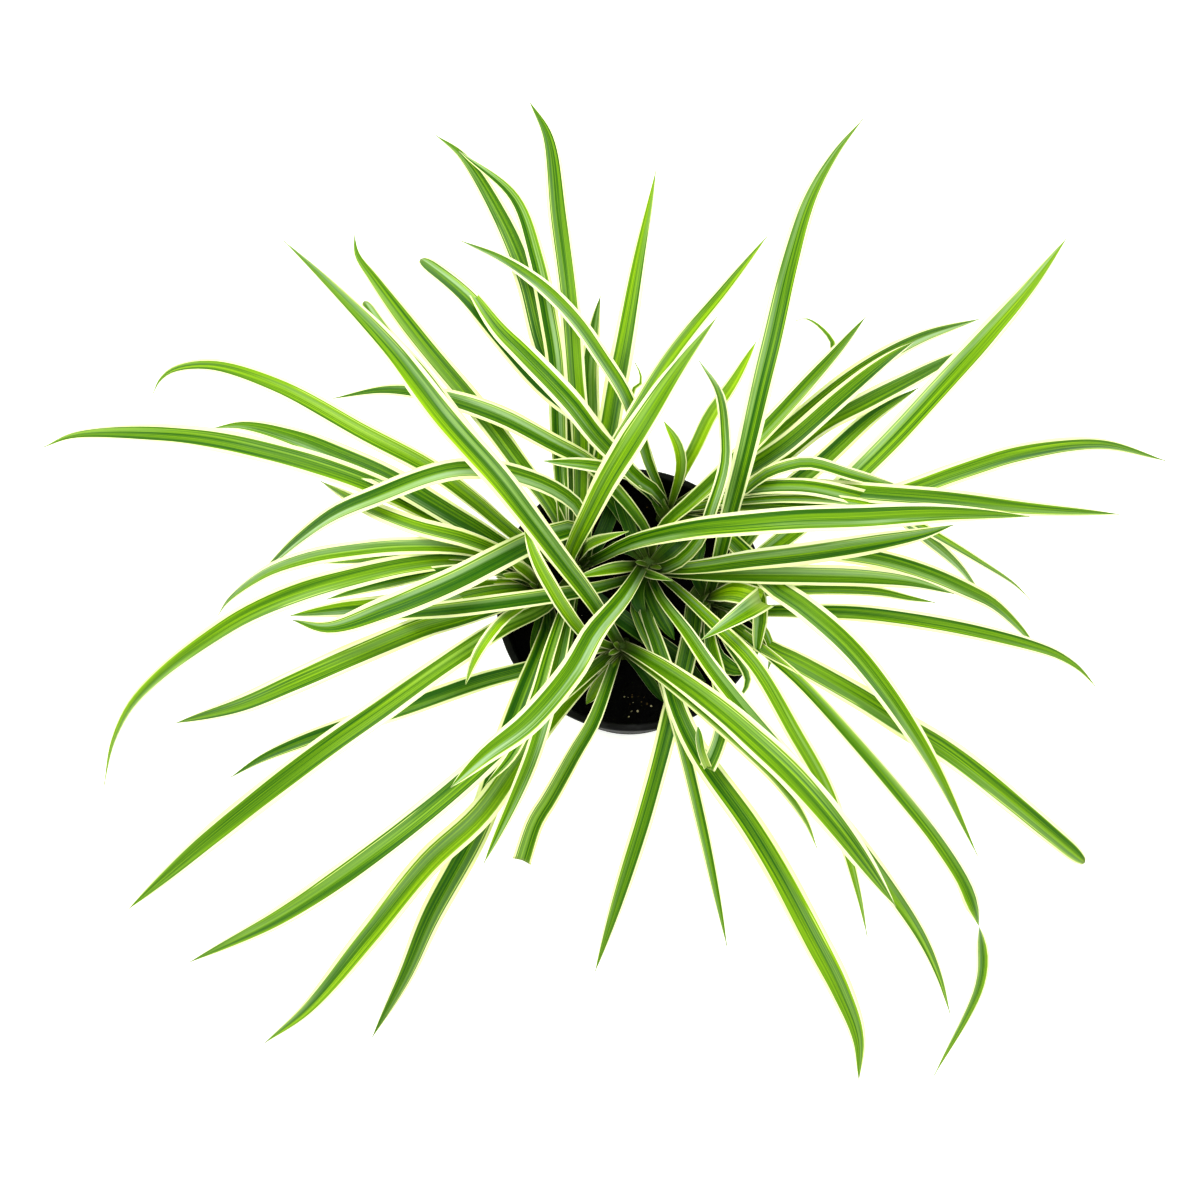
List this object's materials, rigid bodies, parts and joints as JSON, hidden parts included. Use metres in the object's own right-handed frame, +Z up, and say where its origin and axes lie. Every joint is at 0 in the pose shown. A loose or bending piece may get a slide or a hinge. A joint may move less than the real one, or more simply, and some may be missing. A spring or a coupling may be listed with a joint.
{
  "type": "potted plant",
  "caption": "Variegated spider plant with long arching cream-edged blades in a round black nursery pot of dark soil.",
  "frame": {"origin": "middle of the flat underside of the pot's base", "axes": "+Z up along the pot's axis, +Y towards the side that is far from a person who looks at the plant, +X to that person's right"},
  "size_m": [0.5179, 0.4418, 0.1972],
  "materials": {
    "pot_plastic": "satin",
    "soil": "rough",
    "leaf": "satin"
  },
  "bodies": {
    "root": {"pot": "pot_plastic", "soil": "soil", "plantlet_middle": "leaf", "plantlet_front": "leaf", "plantlet_right": "leaf", "plantlet_back": "leaf", "plantlet_left": "leaf", "plantlet_centre": "leaf"}
  },
  "joints": []
}
